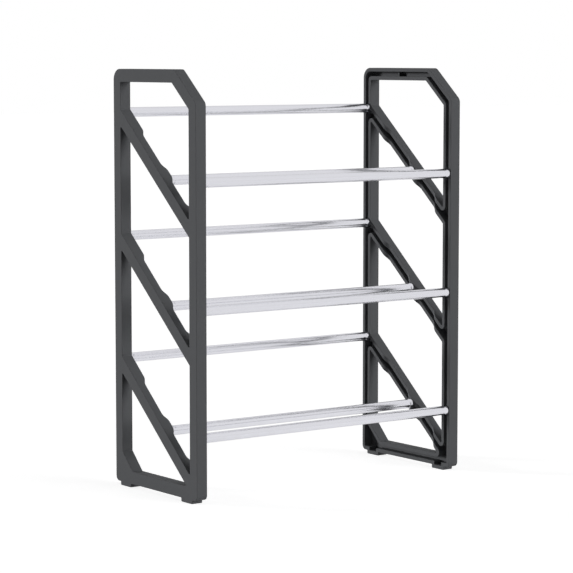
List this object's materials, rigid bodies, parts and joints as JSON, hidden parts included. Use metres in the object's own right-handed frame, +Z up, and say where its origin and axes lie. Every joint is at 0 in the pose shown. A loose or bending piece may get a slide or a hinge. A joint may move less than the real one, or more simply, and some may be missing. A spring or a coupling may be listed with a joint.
{
  "type": "freestanding shoe rack",
  "caption": "Freestanding shoe rack: moulded plastic end frames with sloping diagonals, joined by chrome tubes that shoes rest on in sloping tiers.",
  "frame": {"origin": "on the floor at the bottom centre of the rack's box, midway between the end frames and midway from front to back", "axes": "+X along the tubes to the right seen from the front, +Y to the back, where the tiers are high, +Z up"},
  "size_m": [0.5, 0.222, 0.637],
  "materials": {
    "frame_plastic": "satin moulded",
    "tube_chrome": "bright chrome plating"
  },
  "bodies": {
    "root": {"left_end_frame": "frame_plastic", "right_end_frame": "frame_plastic", "top_back_tube": "tube_chrome", "top_middle_tube": "tube_chrome", "top_front_tube": "tube_chrome", "centre_back_tube": "tube_chrome", "centre_middle_tube": "tube_chrome", "centre_front_tube": "tube_chrome", "bottom_back_tube": "tube_chrome", "bottom_middle_tube": "tube_chrome", "bottom_front_tube": "tube_chrome"}
  },
  "joints": []
}
